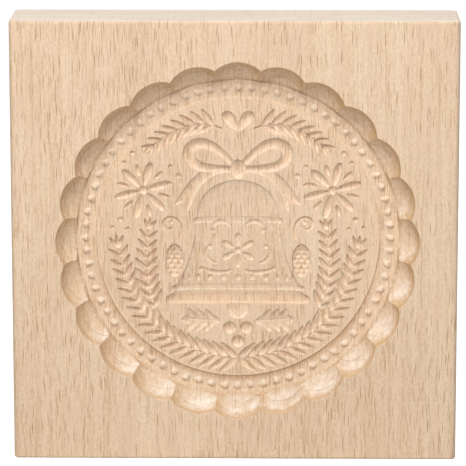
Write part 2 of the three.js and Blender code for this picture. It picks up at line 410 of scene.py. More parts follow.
def pearl_ring(recess):
    """The raised pearls, in step with the scallops and each a little uneven."""
    steps = 6
    profile = [(i / steps, -cos(pi / 2 * i / steps)) for i in range(steps)]
    profile += [(1.02, -0.02), (1.1, 0.0), (1.1, 0.5), (0.0, 0.5)]
    pearl = turned(profile, PEARL_SIDES, "pearls")
    corners = len(pearl.data.vertices)
    chance = random.Random(4)
    circle = recess.band_radius - recess.pearl_inset
    count = recess.scoops * recess.pearls_per_scoop
    bm = bmesh.new()
    for i in range(count):
        bm.from_mesh(pearl.data)
        made = bm.verts[-corners:]
        knocked(made, chance)
        height = recess.pearl_height * chance.uniform(0.85, 1.1)
        slip, swing = (chance.uniform(-PEARL_SLIP, PEARL_SLIP) * MM for _ in range(2))
        turn = Matrix.Rotation(tau * i / count + swing / circle, 4, "Y")
        middle = turn @ Vector((0, recess.band_depth, circle + slip))
        sizes = (1.1 * recess.pearl_radius, height, 0.95 * recess.pearl_radius, 1.0)
        place = Matrix.Translation(middle) @ Matrix.Diagonal(sizes) @ turn
        bmesh.ops.transform(bm, verts=made, matrix=place)
    bmesh.ops.recalc_face_normals(bm, faces=bm.faces)
    stored(bm, pearl.data)
    return pearl


def knocked(verts, chance):
    """Gives a pearl of radius one a slightly cornered outline and a crooked top."""
    lean = Vector((chance.uniform(-0.2, 0.2), 0.0, chance.uniform(-0.1, 0.25)))
    first, second = (chance.uniform(0, tau) for _ in range(2))
    oval, cornered = chance.uniform(0.03, 0.14), chance.uniform(0.03, 0.1)
    for v in verts:
        turn = atan2(v.co.z, v.co.x)
        swell = 1 + oval * cos(2 * turn + first) + cornered * cos(3 * turn + second)
        v.co.x *= swell
        v.co.z *= swell
        v.co += lean * max(-v.co.y, 0.0)


# Forms of the picture

FULLNESS = 0.6  # 1 makes pits with round sections, less makes them more upright
FINE_SIDES = 14  # faces round the wider ribbons


class Plan:
    """Places of the picture, as shares of its radius to the right of and above its middle.

    The picture's forms are made with y = 0 on the field and +Y into the wood.
    """

    def __init__(self, recess, picture):
        self.radius = recess.field_radius - picture.margin

    def at(self, right, up, sink=0.0):
        return Vector((right * self.radius, sink, up * self.radius))

    def shares(self, place):
        return place.x / self.radius, place.z / self.radius


def full(share):
    """Steepens the walls of a round pit and flattens its floor."""
    return copysign(abs(share) ** FULLNESS, share)


def ball(sides, rings, laid, size, place, taper=0.0):
    """A ball of three half sizes, laid down about an axis and narrower towards +X."""
    bm = bmesh.new()
    bmesh.ops.create_uvsphere(bm, u_segments=sides, v_segments=rings, radius=1.0)
    quarter = Matrix.Rotation(pi / 2, 3, laid)
    bmesh.ops.rotate(bm, verts=bm.verts, cent=(0, 0, 0), matrix=quarter)
    for v in bm.verts:
        v.co.y = full(v.co.y) * (1 - taper * v.co.x)
        v.co.z *= 1 - taper * v.co.x
    bmesh.ops.scale(bm, verts=bm.verts, vec=size)
    bmesh.ops.translate(bm, verts=bm.verts, vec=place)
    return closed(bm, "ball")


def lens(root, heading, length, width, relief, sides=12, taper=0.0):
    """A long pointed pit from its root along a heading, narrower towards its end."""
    size = (length / 2, relief, width / 2)
    made = ball(sides, 12, "Y", size, (length / 2, 0, 0), taper)
    return moved(made, Matrix.Translation(root) @ Matrix.Rotation(-heading, 4, "Y"))


def pit(plan, half_width, half_height, relief, right, up, sink=0.0):
    """A round or oval pit whose half sizes and place are shares of the picture."""
    size = (half_width * plan.radius, relief, half_height * plan.radius)
    return ball(28, 16, "X", size, plan.at(right, up, sink))


def way(heading):
    """The direction of a heading, which turns from right to up."""
    return Vector((cos(heading), 0.0, sin(heading)))


def way_at(path, i):
    """The heading of a path at one of its points."""
    ahead = path[min(i + 1, len(path) - 1)] - path[max(i - 1, 0)]
    return atan2(ahead.z, ahead.x)


def curve(points, steps):
    """A smooth curve from the first to the last of four guide points."""
    return [Vector(p) for p in interpolate_bezier(*points, steps + 1)]


def swept(path, half_widths, reliefs, sides=12):
    """A closed tube along a path in the field, of oval section."""
    bm = bmesh.new()
    loops = []
    for i, point in enumerate(path):
        made = bmesh.ops.create_circle(bm, segments=sides, radius=1.0)["verts"]
        for v in made:
            v.co.y = full(v.co.y)
        loops.append(list(dict.fromkeys(edge for v in made for edge in v.link_edges)))
        place = (
            Matrix.Translation(point)
            @ Matrix.Rotation(-way_at(path, i), 4, "Y")
            @ Matrix.Diagonal((1.0, reliefs[i], half_widths[i], 1.0))
            @ Matrix.Rotation(pi / 2, 4, "Y")
        )
        bmesh.ops.transform(bm, verts=made, matrix=place)
    for one, other in zip(loops, loops[1:]):
        bmesh.ops.bridge_loops(bm, edges=one + other)
    bmesh.ops.holes_fill(bm, edges=loops[0] + loops[-1], sides=sides)
    return closed(bm, "swept")


# Bell

BELL_MOUTH = 0.54
BELL_HEIGHT = 0.94
BELL_FOOT = -0.5
BELL_SIDES = 96

# Steps and four guide points of each arc, as shares of the mouth's radius and height.
BELL_ARCS = (
    (8, (0.93, 0.0), (1.02, 0.0), (1.02, 0.07), (0.92, 0.08)),
    (2, (0.92, 0.08), (0.89, 0.085), (0.87, 0.095), (0.87, 0.105)),
    (7, (0.87, 0.105), (0.94, 0.105), (0.94, 0.155), (0.85, 0.155)),
    (14, (0.85, 0.155), (0.72, 0.27), (0.6, 0.44), (0.575, 0.65)),
    (7, (0.575, 0.65), (0.63, 0.65), (0.63, 0.7), (0.56, 0.7)),
    (12, (0.56, 0.7), (0.55, 0.9), (0.3, 1.0), (0.0, 1.0)),
)

# Four guide points of each scroll on the bell's right half.
BELL_SCROLLS = (
    ((0.15, -0.2), (0.24, -0.19), (0.27, -0.1), (0.21, -0.07)),
    ((0.05, 0.08), (0.1, 0.15), (0.2, 0.12), (0.185, 0.05)),
    ((0.04, -0.245), (0.09, -0.29), (0.2, -0.27), (0.27, -0.24)),
)


def bell_outline():
    """The bell from its mouth to its crown, as shares of its mouth's radius and height."""
    outline = [(0.0, 0.0), (0.93, 0.0)]
    for steps, *points in BELL_ARCS:
        knots = [Vector((radius, height, 0.0)) for radius, height in points]
        outline += [(p.x, p.y) for p in curve(knots, steps)[1:]]
    return outline


def bell_floor(picture, right, up):
    """How deep the bell's pit is at a place of the picture."""
    height = (up - BELL_FOOT) / BELL_HEIGHT
    outline = bell_outline()[1:]
    radius = 0.0
    for (near, low), (far, high) in zip(outline, outline[1:]):
        if low <= height <= high and high > low:
            radius = near + (far - near) * (height - low) / (high - low)
    across = min(abs(right) / BELL_MOUTH / max(radius, HAIR), 1.0)
    return picture.bell_relief * radius * full(sqrt(1 - across**2))


def bell(plan, picture):
    """The bell with its clapper and the ornament on its side."""
    mouth = BELL_MOUTH * plan.radius
    height = BELL_HEIGHT * plan.radius
    profile = [(radius * mouth, share * height) for radius, share in bell_outline()]
    body = turned(profile, BELL_SIDES, "bell")
    moved(body, Matrix.Rotation(pi / 2, 4, "X"))
    for v in body.data.vertices:
        radius = hypot(v.co.x, v.co.y)
        if radius > HAIR:
            v.co.y = radius * full(v.co.y / radius)
    moved(body, Matrix.Diagonal((1.0, picture.bell_relief / mouth, 1.0, 1.0)))
    yield moved(body, Matrix.Translation(plan.at(0, BELL_FOOT)))
    yield pit(plan, 0.085, 0.085, picture.berry_relief, 0, BELL_FOOT - 0.03)
    for ornament in (bell_drops, bell_flower, bell_scrolls):
        yield from ornament(plan, picture)


def bell_drops(plan, picture):
    """A row of drops round the bell over its lower bead."""
    up = BELL_FOOT + 0.205 * BELL_HEIGHT
    for step in range(-5, 6):
        turn = step * radians(14.5)
        right = 0.79 * BELL_MOUTH * sin(turn)
        width = max(0.024 * cos(turn), 0.008)
        sink = bell_floor(picture, right, up)
        yield pit(plan, width, 0.026, 0.55 * MM, right, up, sink)


def bell_flower(plan, picture):
    """A six-petalled flower in the middle of the bell's side."""
    up = -0.1
    for i in range(6):
        heading = tau * (i + 0.5) / 6
        right = 0.03 * cos(heading)
        rise = up + 0.03 * sin(heading)
        root = plan.at(right, rise, bell_floor(picture, right, rise))
        size = (0.105 * plan.radius, 0.05 * plan.radius, 0.75 * MM)
        yield lens(root, heading, *size, taper=-0.25)
    yield pit(plan, 0.025, 0.025, 0.6 * MM, 0, up, bell_floor(picture, 0, up))


def bell_scrolls(plan, picture):
    """A curl on each side of the flower, one over it and one under it."""
    steps = 14
    swell = [sin(pi * i / steps) for i in range(steps + 1)]
    widths = [(0.006 + 0.014 * share**0.7) * plan.radius for share in swell]
    reliefs = [0.2 * MM + 0.35 * MM * share for share in swell]
    for side in (-1, 1):
        for points in BELL_SCROLLS:
            path = curve([plan.at(side * right, up) for right, up in points], steps)
            for point in path:
                point.y = bell_floor(picture, *plan.shares(point))
            yield swept(path, widths, reliefs)
            tip = path[-1]
            yield pit(plan, 0.02, 0.02, 0.55 * MM, *plan.shares(tip), tip.y)


# Bow

KNOT = 0.52


def bow(plan, picture):
    """A knot with two open loops and two ribbon ends."""
    yield pit(plan, 0.062, 0.075, picture.bow_relief, 0, KNOT)
    for side in (-1, 1):
        yield bow_loop(plan, picture, side)
        yield from ribbon_end(plan, picture, side)


def bow_loop(plan, picture, side):
    """One loop: a ribbon that leaves the knot, swings round and comes back."""
    steps = 40
    tilt = 0.42
    path = []
    widths = []
    reliefs = []
    for i in range(steps + 1):
        share = i / steps
        turn = tau * share
        out = 0.39 * sin(turn / 2) ** 1.15
        rise = 0.105 * sin(turn) * sin(turn / 2) ** 0.3
        right = out * cos(tilt) - rise * sin(tilt)
        up = out * sin(tilt) + rise * cos(tilt)
        path.append(plan.at(side * right, KNOT + up * 0.9))
        spread = sin(pi * share) ** 0.8
        widths.append((0.018 + 0.03 * spread) * plan.radius)
        reliefs.append(picture.bow_relief * (0.5 + 0.5 * spread))
    return swept(path, widths, reliefs, FINE_SIDES)


def ribbon_end(plan, picture, side):
    """One ribbon end with a swallow tail."""
    steps = 24
    shares = [(0.02, -0.01), (0.2, 0.02), (0.3, -0.05), (0.4, -0.25)]
    path = curve([plan.at(side * right, KNOT + up) for right, up in shares], steps)
    relief = picture.stem_relief
    widths = []
    reliefs = []
    for i in range(steps + 1):
        widths.append((0.022 + 0.033 * i / steps) * plan.radius)
        reliefs.append(relief * (1.1 + 0.25 * sin(3 * pi * i / steps)))
    yield swept(path, widths, reliefs, FINE_SIDES)
    size = (0.16 * plan.radius, 0.062 * plan.radius, relief * 1.1)
    for turn in (-0.34, 0.34):
        yield lens(path[-5], way_at(path, steps) + turn, *size, taper=0.4)


# Branches and holly

NEEDLE_SPREAD = 0.72
NEEDLE_TAPER = 0.4
NEEDLE_SLIMNESS = 0.32

# Start, bend and end of each branch on the right, its needles a side and the longest.
BRANCHES = (
    ((-0.07, -0.92), (0.74, -0.91), (0.885, -0.08), 19, 0.18),
    ((0.58, -0.6), (0.72, -0.35), (0.66, 0.06), 9, 0.16),
    ((0.12, 0.82), (0.34, 0.93), (0.62, 0.7), 8, 0.16),
)


def bent(plan, start, bend, end, steps):
    """Points at equal steps of length on a curve that is drawn towards one bend."""
    start, bend, end = (plan.at(*point) for point in (start, bend, end))
    first = start + (bend - start) * 2 / 3
    second = end + (bend - end) * 2 / 3
    fine = curve((start, first, second, end), 20 * steps)
    spans = [(b - a).length for a, b in zip(fine, fine[1:])]
    pitch = sum(spans) / steps
    path = [fine[0]]
    run = 0.0
    for point, span in zip(fine[1:], spans):
        run += span
        if run >= pitch * len(path) - 1e-9 and len(path) < steps:
            path.append(point)
    path.append(fine[-1])
    return path


def branch(plan, picture, start, bend, end, needles, longest):
    """A fir branch: a stem with needles at every step, and three at its end."""
    path = bent(plan, start, bend, end, needles)
    steps = range(needles + 1)
    widths = [0.014 * plan.radius * (1 - 0.35 * i / needles) for i in steps]
    yield swept(path, widths, [picture.stem_relief] * len(path), 10)
    for i in steps[1:]:
        length = longest * (1 - NEEDLE_TAPER * (i / needles)) * plan.radius
        width = NEEDLE_SLIMNESS * length
        spreads = (-NEEDLE_SPREAD, NEEDLE_SPREAD) if i < needles else (-0.5, 0.0, 0.5)
        for spread in spreads:
            heading = way_at(path, i) + spread
            yield lens(path[i], heading, length, width, picture.needle_relief, 10, 0.3)


def branches(plan, picture):
    """The branches on the right and their mirror images on the left."""
    for side in (-1, 1):
        for start, bend, end, needles, longest in BRANCHES:
            places = [(side * right, up) for right, up in (start, bend, end)]
            yield from branch(plan, picture, *places, needles, longest)


def holly_leaf(plan, picture, root, heading):
    """A leaf with a long middle, pairs of spikes and a deeper rib."""
    length = 0.29 * plan.radius
    relief = picture.leaf_relief
    ahead = way(heading)
    yield lens(root, heading, length, 0.38 * length, relief, sides=16)
    size = (0.36 * length, 0.19 * length, relief * 0.9)
    for share in (0.2, 0.42, 0.64):
        foot = root + ahead * length * share
        for spread in (-1.0, 1.0):
            yield lens(foot, heading + spread, *size, taper=0.35)
    foot = root + ahead * length * 0.05
    yield lens(foot, heading, 0.86 * length, 0.07 * length, relief + 0.35 * MM)


def holly(plan, picture):
    """Three berries between two leaves."""
    for right, up in ((-0.062, -0.68), (0.062, -0.68), (0.0, -0.785)):
        yield pit(plan, 0.05, 0.05, picture.berry_relief, right, up)
    for side, heading in ((-1, pi - 0.04), (1, 0.04)):
        yield from holly_leaf(plan, picture, plan.at(side * 0.13, -0.63), heading)


# Rosettes and heart


def rosette(plan, picture, right, up, radius):
    """Six long petals, six short ones between them and a button."""
    reach = radius * plan.radius
    relief = picture.flower_relief
    middle = plan.at(right, up)
    for i in range(12):
        heading = tau * (i + 0.5) / 12
        if i % 2 == 0:
            root = middle + way(heading) * 0.12 * reach
            yield lens(root, heading, 0.88 * reach, 0.3 * reach, relief, taper=-0.15)
        else:
            root = middle + way(heading) * 0.5 * reach
            yield lens(root, heading, 0.42 * reach, 0.17 * reach, 0.7 * relief)
    yield pit(plan, 0.16 * radius, 0.16 * radius, relief, right, up)


def heart(plan, picture, right, up, size):
    """A heart from two slanted pits that share a tip."""
    root = plan.at(right, up - size)
    length, width = 2.1 * size * plan.radius, 1.02 * size * plan.radius
    for lean in (-0.62, 0.62):
        turn = pi / 2 + lean
        yield lens(root, turn, length, width, picture.flower_relief * 0.9, 20, -0.45)


def flowers(plan, picture):
    """A rosette on each side and a heart over the bow."""
    for side in (-1, 1):
        yield from rosette(plan, picture, side * 0.7, 0.36, 0.22)
    yield from heart(plan, picture, 0.0, 0.89, 0.085)


# Cones, curls and dots

# Places and sizes of the round dots on the right.
DOTS = (
    (0.44, 0.47, 0.022),
    (0.5, 0.4, 0.017),
    (0.5, 0.54, 0.017),
    (0.87, 0.14, 0.022),
    (0.93, 0.08, 0.016),
    (0.82, 0.07, 0.016),
    (0.78, 0.64, 0.02),
    (0.84, 0.57, 0.015),
)


def cone(plan, picture, right, up, half_width, half_height):
    """A hanging fir cone with rows of scales on its belly."""
    relief = picture.needle_relief
    yield pit(plan, half_width, half_height, relief, right, up)
    rows = 7
    for row in range(rows):
        rise = (row - (rows - 1) / 2) * 2 * half_height / (rows + 0.6)
        level = sqrt(1 - (rise / half_height) ** 2)
        scales = 3 if row % 2 else 2
        for i in range(scales):
            shift = (i - (scales - 1) / 2) * half_width * 0.66
            depth = max(1 - (rise / half_height) ** 2 - (shift / half_width) ** 2, 0.02)
            sink = relief * full(sqrt(depth)) - 0.1 * MM
            size = 0.3 * half_width * max(level, 0.6)
            yield pit(plan, size, size, 0.5 * MM, right + shift, up + rise, sink)


def curl(plan, picture, right, up, heading, length, turn):
    """A thin scroll that winds up tighter and tighter to a round eye."""
    steps = 44
    point = plan.at(right, up)
    path = [point]
    for i in range(1, steps + 1):
        ahead = way(heading + turn * (i / steps) ** 2)
        point = point + ahead * length * plan.radius / steps
        path.append(point)
    shares = [min(i / steps * 0.9 + 0.1, 1.0) for i in range(steps + 1)]
    swell = [sin(pi * share) ** 0.6 for share in shares]
    widths = [(0.005 + 0.012 * share) * plan.radius for share in swell]
    reliefs = [picture.stem_relief * (0.3 + 0.7 * share) for share in swell]
    yield swept(path, widths, reliefs)
    yield pit(plan, 0.02, 0.02, picture.stem_relief, *plan.shares(path[-1]))


def small_ornament(plan, picture):
    """Cones, curls and dots between the larger motifs."""
    for side, heading in ((-1, pi - 1.75), (1, 1.75)):
        yield from cone(plan, picture, side * 0.47, -0.17, 0.07, 0.13)
        yield from curl(plan, picture, side * 0.43, -0.01, heading, 0.42, -7.2 * side)
        for right, up, size in DOTS:
            yield pit(plan, size, size, picture.stem_relief, side * right, up)


def picture_cutter(recess, picture):
    """All that is cut away for the picture."""
    plan = Plan(recess, picture)
    groups = (bell, bow, branches, holly, flowers, small_ornament)
    parts = [part for group in groups for part in group(plan, picture)]
    return joined(parts, "picture_cutter")


# Block

FLAT_AREA = 50 * MM**2  # larger faces are planed flats and stay flat
SHARP = radians(32)  # edges sharper than this stay sharp


def blank(block):
    """The planed block with its rounded edges."""
    bm = bmesh.new()
    bmesh.ops.create_cube(bm, size=1.0)
    bmesh.ops.scale(bm, verts=bm.verts, vec=BLOCK_SIZE)
    bmesh.ops.translate(bm, verts=bm.verts, vec=BLOCK_MIDDLE)
    rounded(bm, [e for e in bm.edges if climb(e) > BLOCK_SIZE.z / 2], block.edge_radius)
    rounded(bm, [e for e in bm.edges if climb(e) < HAIR], block.end_radius)
    return closed(bm, "carved_mould")


def climb(edge):
    """The difference in height between the ends of an edge."""
    return abs(edge.verts[0].co.z - edge.verts[1].co.z)


def rounded(bm, edges, radius):
    """Rounds edges of the block."""
    bmesh.ops.bevel(
        bm,
        geom=edges,
        offset=radius,
        offset_type="OFFSET",
        segments=8,
        profile=0.5,
        affect="EDGES",
        material=-1,
    )


def carved(block, recess, picture):
    """The block with its recess, field, pearls and picture."""
    body = blank(block)
    face = Matrix.Translation((recess.shift, BLOCK_LOW.y, BLOCK_MIDDLE.z))
    field = face @ Matrix.Translation((0, recess.field_depth, 0))
    cut(body, moved(scalloped_recess(recess, block.lip), face))
    cut(body, moved(raised_field(recess, block.lip), face), "UNION")
    cut(body, moved(pearl_ring(recess), face), "UNION")
    cut(body, moved(picture_cutter(recess, picture), field))
    return shaded(body)


def shaded(obj):
    """Shades round faces smooth, and keeps flats and sharp edges."""
    bm = copied(obj.data)
    for face in bm.faces:
        face.smooth = face.calc_area() < FLAT_AREA
    for edge in bm.edges:
        edge.smooth = edge.calc_face_angle(pi) < SHARP
    bm.to_mesh(obj.data)
    bm.free()
    return obj


# Nodes

WHITE = (1.0, 1.0, 1.0, 1.0)
MIX_FACTOR, MIX_FIRST, MIX_SECOND, MIX_RESULT = 0, 6, 7, 2  # colour sockets of a mix


class Wiring:
    """Nodes of a material or a world, added and linked by short calls."""

    def __init__(self, owner):
        owner.use_nodes = True
        self.tree = owner.node_tree
        self.tree.nodes.clear()

    def finish(self, shader, kind="OutputMaterial"):
        output = self.tree.nodes.new("ShaderNode" + kind)
        self.tree.links.new(shader, output.inputs["Surface"])

    def add(self, kind, inputs, output=0, **settings):
        """Adds a node, sets or links its inputs and gives one of its outputs."""
        node = self.tree.nodes.new("ShaderNode" + kind)
        for name, value in settings.items():
            setattr(node, name, value)
        for key, value in inputs.items():
            if isinstance(value, bpy.types.NodeSocket):
                self.tree.links.new(value, node.inputs[key])
            else:
                node.inputs[key].default_value = value
        return node.outputs[output]

    def maths(self, operation, *values):
        return self.add("Math", dict(enumerate(values)), operation=operation)

    def vector(self, operation, *values, output=0):
        return self.add("VectorMath", dict(enumerate(values)), output, operation=operation)

    def parts(self, value, kind="XYZ"):
        """The three parts of a vector, or of a colour."""
        return self.add("Separate" + kind, {0: value}).node.outputs

    def total(self, first, *others):
        for other in others:
            first = self.maths("ADD", first, other)
        return first

    def less(self, whole, part):
        return self.maths("SUBTRACT", whole, part)

    def product(self, first, *others):
        for other in others:
            first = self.maths("MULTIPLY", first, other)
        return first

    def line(self, value, slope, base):
        """The value times a slope, plus a base."""
        return self.maths("MULTIPLY_ADD", value, slope, base)

    def ramp(self, value, low, high, bottom=0.0, top=1.0):
        """Rises smoothly from bottom to top while the value goes from low to high."""
        inputs = dict(enumerate((value, low, high, bottom, top)))
        return self.add("MapRange", inputs, interpolation_type="SMOOTHSTEP")

    def stretched(self, place, sizes):
        """Coordinates that grow by one over each of the given sizes."""
        return self.vector("MULTIPLY", place, tuple(1 / size for size in sizes))

    def noise(self, place, sizes, detail=2.0, roughness=0.5):
        """Soft noise from 0 to 1 whose patches have the given sizes, in millimetres."""
        inputs = {
            "Vector": self.stretched(place, [size * MM for size in sizes]),
            "Scale": 1.0,
            "Detail": detail,
            "Roughness": roughness,
        }
        return self.add("TexNoise", inputs)

    def painted(self, colour, layers):
        """A colour under layers of others, each with the share that it covers."""
        for share, layer in layers:
            inputs = {MIX_FACTOR: share, MIX_FIRST: colour, MIX_SECOND: layer}
            colour = self.add("Mix", inputs, MIX_RESULT, data_type="RGBA")
        return colour


# Wood


class Zones:
    """Tells by shares from 0 to 1 on which part of the block a place lies."""

    def __init__(self, nodes, recess):
        self.nodes = nodes
        self.recess = recess
        self.place = nodes.add("TexCoord", {}, "Object")
        self.facing = nodes.parts(self.place.node.outputs["Normal"])
        self.flat = nodes.maths("ABSOLUTE", self.facing[1])

        middle = (recess.shift, 0.0, BLOCK_MIDDLE.z)
        offset = nodes.vector("SUBTRACT", self.place, middle)
        level = nodes.vector("MULTIPLY", offset, (1, 0, 1))
        right, _, up = nodes.parts(level)
        self.reach = nodes.vector("LENGTH", level, output="Value")
        self.angle = nodes.maths("ARCTAN2", right, up)
        self.height = nodes.maths("COSINE", self.angle)
        depth = nodes.less(nodes.parts(self.place)[1], BLOCK_MIDDLE.y)
        off = nodes.maths("ABSOLUTE", depth)
        self.inside = nodes.maths("LESS_THAN", off, BLOCK_SIZE.y / 2 - HAIR)

        field, rim = recess.field_radius, recess.rim_radius
        self.carved = self.ring(-CLEAR, rim + CLEAR)
        self.scooped = self.ring(recess.band_radius, rim + CLEAR)
        self.slope = self.ring(field - CLEAR, field + CLEAR)
        self.smooth = nodes.less(self.carved, self.scooped)
        self.end = nodes.ramp(nodes.maths("ABSOLUTE", self.facing[2]), 0.7, 0.98)
        self.planed_end = nodes.product(self.end, nodes.less(1.0, self.carved))
        rough = nodes.ramp(self.flat, 0.97, 1.0, 1.0, 0.3)
        self.rough = nodes.product(self.carved, rough)

    def ring(self, low, high):
        """One on what is carved between two radii, and nought elsewhere."""
        return self.nodes.product(
            self.nodes.maths("GREATER_THAN", self.reach, low),
            self.nodes.maths("LESS_THAN", self.reach, high),
            self.inside,
        )

    def near(self, radius):
        """How far a place is from a circle about the recess's middle."""
        return self.nodes.maths("ABSOLUTE", self.nodes.less(self.reach, radius))


def wavering(nodes, place):
    """Coordinates whose fibres sway a little to both sides as they run up the block."""
    sway = nodes.noise(place, (4, 8, 9))
    shift = nodes.product(nodes.less(sway, 0.5), 1.2 * MM)
    return nodes.vector("ADD", place, nodes.add("CombineXYZ", {0: shift}))


def ring_lines(nodes, wood, place):
    """Late wood of the year rings, layers nearly parallel to the carved face."""
    across, depth, _ = nodes.parts(place)
    bend = nodes.maths("DIVIDE", nodes.product(across, across), 2 * wood.ring_curve)
    lean = nodes.product(across, wood.ring_lean)
    sway = nodes.product(nodes.noise(place, (30, 14, 120), 3.0), wood.ring_sway)
    depth = nodes.total(depth, bend, lean, sway, wood.ring_phase)
    share = nodes.maths("FRACT", nodes.maths("DIVIDE", depth, wood.ring_spacing))
    soft = nodes.ramp(share, 0.3, 0.93, 0.0, 0.4)
    sharp = nodes.ramp(share, 0.86, 0.93, 0.0, 0.6)
    fall = nodes.ramp(share, 0.95, 1.0, 1.0, 0.0)
    kept = nodes.ramp(nodes.noise(place, (5, 3, 6)), 0.35, 0.6, 0.15, 1.0)
    return nodes.product(nodes.total(soft, sharp), fall, kept)


def ray_flecks(nodes, wood, place, offset):
    """Rays: thin upright spindles on the face, long ribbons through the thickness."""
    sizes = (wood.fleck_width * 2.6, 20 * MM, wood.fleck_length * 1.2)
    spread = nodes.stretched(nodes.vector("ADD", place, offset), sizes)
    cells = nodes.add("TexVoronoi", {"Vector": spread, "Scale": 1.0})
    chance = nodes.parts(cells.node.outputs["Color"], "Color")
    crowd = nodes.noise(place, (22, 22, 40), 1.0)
    share = wood.fleck_share
    chosen = nodes.ramp(crowd, 0.35, 0.65, 0.5 * share, 1.4 * share)
    return nodes.product(
        nodes.ramp(cells, 0.2, 0.4, 1.0, 0.0),
        nodes.maths("LESS_THAN", chance[0], chosen),
        nodes.line(chance[1], 0.7, 0.3),
    )


def rays_shown(nodes, wood, zones, place):
    """Two sets of rays, weaker on the ends, the sides and rough carving."""
    one = ray_flecks(nodes, wood, place, (0, 0, 0))
    other = ray_flecks(nodes, wood, place, (71 * MM, 13 * MM, 37 * MM))
    side = nodes.maths("ABSOLUTE", zones.facing[0])
    return nodes.product(
        nodes.maths("MAXIMUM", one, other),
        nodes.ramp(zones.end, 0.0, 1.0, 0.8, 0.15),
        nodes.ramp(side, 0.7, 0.98, 1.0, 0.2),
        nodes.line(zones.rough, -0.4, 1.0),
    )


def lit_walls(nodes, zones, place):
    """Painted light: a pale share on carved walls that face up or left, towards the lamps,
    uneven on the scoops.
    """
    tilt = nodes.line(zones.facing[0], -0.4, zones.facing[2])
    patches = nodes.noise(place, (3, 3, 3), 1.0)
    uneven = nodes.less(nodes.ramp(patches, 0.35, 0.65, 0.5, 1.15), 0.3)
    return nodes.product(
        nodes.less(zones.carved, zones.slope),
        nodes.ramp(tilt, 0.15, 0.8, 0.0, 0.78),
        nodes.line(zones.scooped, uneven, 0.3),
        nodes.ramp(zones.flat, 0.3, 0.65, 0.25, 1.0),
    )


def scoop_ends(nodes, zones):
    """The scorched end that the cutter leaves in each scoop, on its clockwise side."""
    share = nodes.line(zones.angle, zones.recess.scoops / tau, 0.5)
    right = nodes.maths("COSINE", nodes.less(zones.angle, radians(60)))
    return nodes.product(
        nodes.ramp(nodes.maths("FRACT", share), 0.65, 1.0),
        nodes.line(right, 0.25, 0.6),
        nodes.ramp(zones.flat, 0.6, 0.97, 1.0, 0.0),
        nodes.maths("GREATER_THAN", zones.reach, zones.recess.band_radius),
    )


def field_edge_highlight(nodes, zones):
    """A pale painted highlight along the field's lower edge."""
    off = zones.near(zones.recess.field_radius - 0.45 * MM)
    return nodes.product(
        nodes.ramp(off, 0.1 * MM, 0.5 * MM, 0.7, 0.0),
        nodes.ramp(zones.height, -0.4, 0.2, 1.0, 0.0),
        zones.inside,
    )


def crease_shade(nodes, zones):
    """Painted shade: brown strips in the crease at the band's outer edge, weak below where
    it is lit, and a painted shadow under the field's lower edge.
    """
    off = zones.near(zones.recess.band_radius + 0.3 * MM)
    outer = nodes.product(
        nodes.ramp(off, 0.0, 0.8 * MM, 0.54, 0.0),
        nodes.ramp(zones.height, -0.9, -0.4, 0.3, 1.0),
    )
    edge = zones.recess.field_radius
    inner = nodes.product(
        nodes.ramp(zones.reach, edge - 0.1 * MM, edge + 0.2 * MM),
        nodes.ramp(zones.reach, edge + 0.3 * MM, edge + 2.2 * MM, 0.8, 0.0),
        nodes.ramp(zones.height, -0.7, 0.1, 1.0, 0.0),
    )
    return nodes.maths("MAXIMUM", outer, inner)


def planed_layers(nodes, wood, zones, place, fibres, pores):
    """Fibres, pores, streaks, patches and veins, and pale ends with swirls of the rings."""
    tone = nodes.total(
        nodes.ramp(fibres, 0.4, 0.6, 0.0, 0.26),
        nodes.ramp(pores, 0.4, 0.6, 0.0, 0.44),
        nodes.ramp(nodes.noise(place, (2.2, 2.2, 50)), 0.3, 0.7, 0.0, 0.18),
        nodes.ramp(nodes.noise(place, (16, 16, 50)), 0.3, 0.7, 0.0, 0.18),
    )
    patches = nodes.noise(place, (3.5, 9, 14))
    veins = nodes.noise(place, (0.6, 2, 45), 0.0)
    swirls = nodes.ramp(nodes.noise(place, (28, 0.9, 28), 3.0), 0.4, 0.65, 0.0, 0.22)
    return [
        (tone, wood.dark),
        (nodes.ramp(patches, 0.45, 0.7, 0.0, 0.4), wood.rosy),
        (nodes.ramp(veins, 0.7, 0.8, 0.0, 0.35), wood.ring),
        (nodes.product(zones.planed_end, 0.88), wood.end_grain),
        (nodes.product(zones.planed_end, swirls), wood.ring),
    ]


def carved_layers(nodes, wood, zones, place, lit_share):
    """Pale hollows, burnish with painted shade on steep walls, painted light on walls that
    face up or left, and the rings where they are cut.
    """
    level = nodes.ramp(zones.flat, 0.9, 0.99, 0.25, 0.0)
    hollow = nodes.product(nodes.less(zones.smooth, zones.slope), level)
    low = nodes.line(zones.facing[2], 0.05, 0.7)
    # Burnish on the steep scoop walls, which also paints the shade that falls there.
    wall_shade_and_burnish = nodes.product(
        zones.scooped,
        nodes.ramp(zones.flat, 0.25, 0.87, 0.8, 0.0),
        nodes.line(zones.facing[0], -0.35, low),
    )
    across = nodes.product(
        nodes.ramp(zones.flat, 0.8, 0.97, 0.6, 0.07),
        nodes.line(zones.smooth, -0.8, 1.0),
        nodes.line(zones.planed_end, -0.4, 1.0),
    )
    rings = nodes.product(ring_lines(nodes, wood, place), across)
    return [
        (hollow, wood.end_grain),
        (wall_shade_and_burnish, wood.burnish_and_shade),
        (lit_share, wood.painted_light),
        (rings, wood.ring),
    ]


